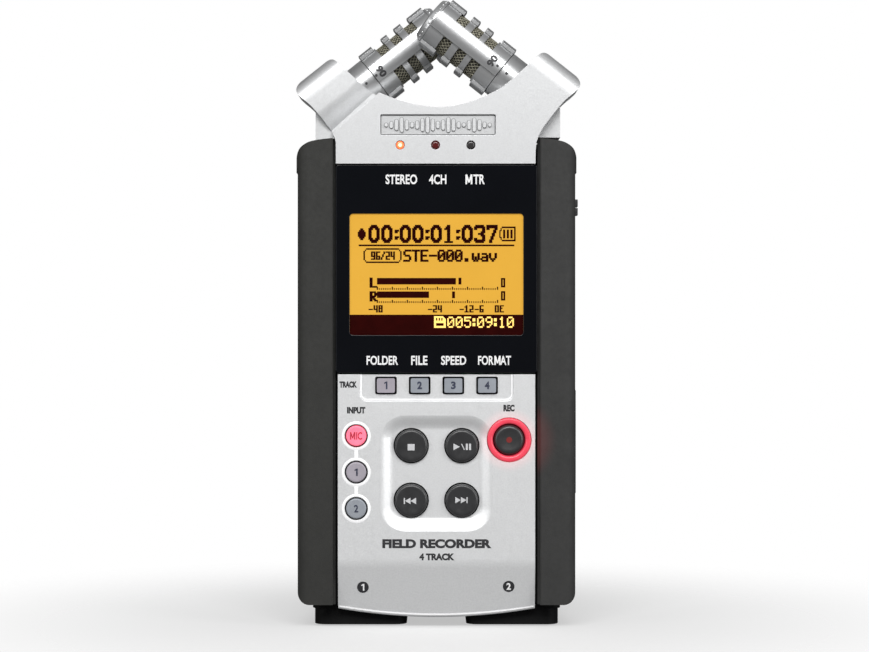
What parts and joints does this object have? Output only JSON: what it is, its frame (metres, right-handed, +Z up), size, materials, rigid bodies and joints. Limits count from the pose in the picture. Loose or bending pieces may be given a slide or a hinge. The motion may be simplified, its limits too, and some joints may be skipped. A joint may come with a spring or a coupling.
{
  "type": "portable field recorder",
  "caption": "Hand-held audio recorder with crossed turning microphones, lit display, keys and side controls; it stands on its two input sockets.",
  "frame": {"origin": "middle of the bounding box's bottom face, on the surface that the jack housings stand on", "axes": "+Z up toward the microphones, -Y out of the display side, +X to the right as seen from the front"},
  "size_m": [0.0726, 0.033, 0.1577],
  "materials": {
    "silver_paint": "satin metallic silver paint over moulded resin",
    "grip_rubber": "fine matt soft-touch coating",
    "case_black": "fine moulded texture",
    "lens": "polished clear window with a printed black border",
    "lcd": "amber backlit liquid crystal",
    "button_black": "satin",
    "button_grey": "satin",
    "jack_black": "moulded nylon",
    "steel": "zinc plated",
    "cell_jacket": "foil jacket",
    "bush_brass": "turned",
    "board_green": "solder mask",
    "led_red": "translucent red",
    "mic_metal": "satin silver paint on die-cast metal",
    "mic_mesh": "dark woven wire"
  },
  "bodies": {
    "chassis": {"front_panel": "silver_paint", "head_front_shell": "silver_paint", "head_rear_shell": "silver_paint", "left_grip": "grip_rubber", "right_grip": "grip_rubber", "rear_shell": "case_black", "input_housing": "case_black", "speaker": "case_black", "display_lens": "lens", "lcd_module": "lcd", "button_mat": "button_black", "case_screw_1": "steel", "case_screw_2": "steel", "case_screw_3": "steel", "case_screw_4": "steel", "input_jack_1": "jack_black", "input_jack_2": "jack_black", "dc_jack": "jack_black", "phones_jack": "jack_black", "battery_contact_spring": "steel", "usb_socket": "steel", "sd_socket": "steel", "battery_1": "cell_jacket", "battery_2": "cell_jacket", "tripod_bush": "bush_brass", "main_board": "board_green", "rec_light_ring": "led_red", "led_stereo": "led_red", "led_four_channel": "led_red", "led_multitrack": "led_red", "mic_collar_left": "mic_metal", "mic_collar_right": "mic_metal"},
    "microphone_left": {"mic_cage_left": "mic_metal", "mic_screen_left": "mic_mesh", "mic_capsule_left": "jack_black", "mic_cap_left": "jack_black"},
    "microphone_right": {"mic_cage_right": "mic_metal", "mic_screen_right": "mic_mesh", "mic_capsule_right": "jack_black", "mic_cap_right": "jack_black"},
    "mic_input_button_body": {"mic_input_button": "button_black"},
    "input_1_button_body": {"input_1_button": "button_black"},
    "input_2_button_body": {"input_2_button": "button_black"},
    "stop_button_body": {"stop_button": "button_black"},
    "play_pause_button_body": {"play_pause_button": "button_black"},
    "rewind_button_body": {"rewind_button": "button_black"},
    "forward_button_body": {"forward_button": "button_black"},
    "rec_button_body": {"rec_button": "button_black"},
    "track_button_1_body": {"track_button_1": "button_grey"},
    "track_button_2_body": {"track_button_2": "button_grey"},
    "track_button_3_body": {"track_button_3": "button_grey"},
    "track_button_4_body": {"track_button_4": "button_grey"},
    "rec_level_rocker_body": {"rec_level_rocker": "button_black"},
    "volume_rocker_body": {"volume_rocker": "button_black"},
    "power_switch_body": {"power_switch": "button_black"},
    "jog_dial_body": {"jog_dial": "button_black"},
    "menu_button_body": {"menu_button": "button_black"},
    "sd_card_body": {"sd_card": "jack_black"},
    "sd_door_body": {"sd_door": "grip_rubber"},
    "battery_door_body": {"battery_door": "case_black"}
  },
  "joints": [
    {"name": "microphone_left_turn", "type": "hinge", "parent": "chassis", "child": "microphone_left", "pos_m": [-0.0104, 0.0058, 0.14375], "axis": [0.7853, 0, 0.6191], "range_deg": [0, 180]},
    {"name": "microphone_right_turn", "type": "hinge", "parent": "chassis", "child": "microphone_right", "pos_m": [0.0104, -0.0088, 0.14375], "axis": [-0.7853, 0, 0.6191], "range_deg": [-180, 0]},
    {"name": "mic_input_button_press", "type": "slide", "parent": "chassis", "child": "mic_input_button_body", "axis": [0, 1, 0], "range_m": [0, 0.0005], "stiffness_N_per_m": 400},
    {"name": "input_1_button_press", "type": "slide", "parent": "chassis", "child": "input_1_button_body", "axis": [0, 1, 0], "range_m": [0, 0.0005], "stiffness_N_per_m": 400},
    {"name": "input_2_button_press", "type": "slide", "parent": "chassis", "child": "input_2_button_body", "axis": [0, 1, 0], "range_m": [0, 0.0005], "stiffness_N_per_m": 400},
    {"name": "stop_button_press", "type": "slide", "parent": "chassis", "child": "stop_button_body", "axis": [0, 1, 0], "range_m": [0, 0.0005], "stiffness_N_per_m": 400},
    {"name": "play_pause_button_press", "type": "slide", "parent": "chassis", "child": "play_pause_button_body", "axis": [0, 1, 0], "range_m": [0, 0.0005], "stiffness_N_per_m": 400},
    {"name": "rewind_button_press", "type": "slide", "parent": "chassis", "child": "rewind_button_body", "axis": [0, 1, 0], "range_m": [0, 0.0005], "stiffness_N_per_m": 400},
    {"name": "forward_button_press", "type": "slide", "parent": "chassis", "child": "forward_button_body", "axis": [0, 1, 0], "range_m": [0, 0.0005], "stiffness_N_per_m": 400},
    {"name": "rec_button_press", "type": "slide", "parent": "chassis", "child": "rec_button_body", "axis": [0, 1, 0], "range_m": [0, 0.0005], "stiffness_N_per_m": 400},
    {"name": "track_button_1_press", "type": "slide", "parent": "chassis", "child": "track_button_1_body", "axis": [0, 1, 0], "range_m": [0, 0.0005], "stiffness_N_per_m": 400},
    {"name": "track_button_2_press", "type": "slide", "parent": "chassis", "child": "track_button_2_body", "axis": [0, 1, 0], "range_m": [0, 0.0005], "stiffness_N_per_m": 400},
    {"name": "track_button_3_press", "type": "slide", "parent": "chassis", "child": "track_button_3_body", "axis": [0, 1, 0], "range_m": [0, 0.0005], "stiffness_N_per_m": 400},
    {"name": "track_button_4_press", "type": "slide", "parent": "chassis", "child": "track_button_4_body", "axis": [0, 1, 0], "range_m": [0, 0.0005], "stiffness_N_per_m": 400},
    {"name": "menu_button_press", "type": "slide", "parent": "chassis", "child": "menu_button_body", "axis": [-1, 0, 0], "range_m": [0, 0.0005], "stiffness_N_per_m": 400},
    {"name": "rec_level_rock", "type": "hinge", "parent": "chassis", "child": "rec_level_rocker_body", "pos_m": [0.0334, -0.007, 0.1054], "axis": [0, 1, 0], "range_deg": [-4, 4], "stiffness_Nm_per_rad": 0.05},
    {"name": "volume_rock", "type": "hinge", "parent": "chassis", "child": "volume_rocker_body", "pos_m": [-0.0334, -0.007, 0.1054], "axis": [0, 1, 0], "range_deg": [-4, 4], "stiffness_Nm_per_rad": 0.05},
    {"name": "power_switch_slide", "type": "slide", "parent": "chassis", "child": "power_switch_body", "axis": [0, 0, 1], "range_m": [-0.0025, 0.0025]},
    {"name": "jog_dial_turn", "type": "hinge", "parent": "chassis", "child": "jog_dial_body", "pos_m": [0.029, -0.0062, 0.08765], "axis": [0, 1, 0], "continuous": true},
    {"name": "sd_card_push", "type": "slide", "parent": "chassis", "child": "sd_card_body", "axis": [-1, 0, 0], "range_m": [0, 0.0008], "stiffness_N_per_m": 300},
    {"name": "sd_door_swing", "type": "hinge", "parent": "chassis", "child": "sd_door_body", "pos_m": [0.0345, -0.007, 0.03395], "axis": [0, 1, 0], "range_deg": [0, 95]},
    {"name": "battery_door_lift", "type": "slide", "parent": "chassis", "child": "battery_door_body", "axis": [0, 1, 0], "range_m": [0, 0.012]}
  ]
}
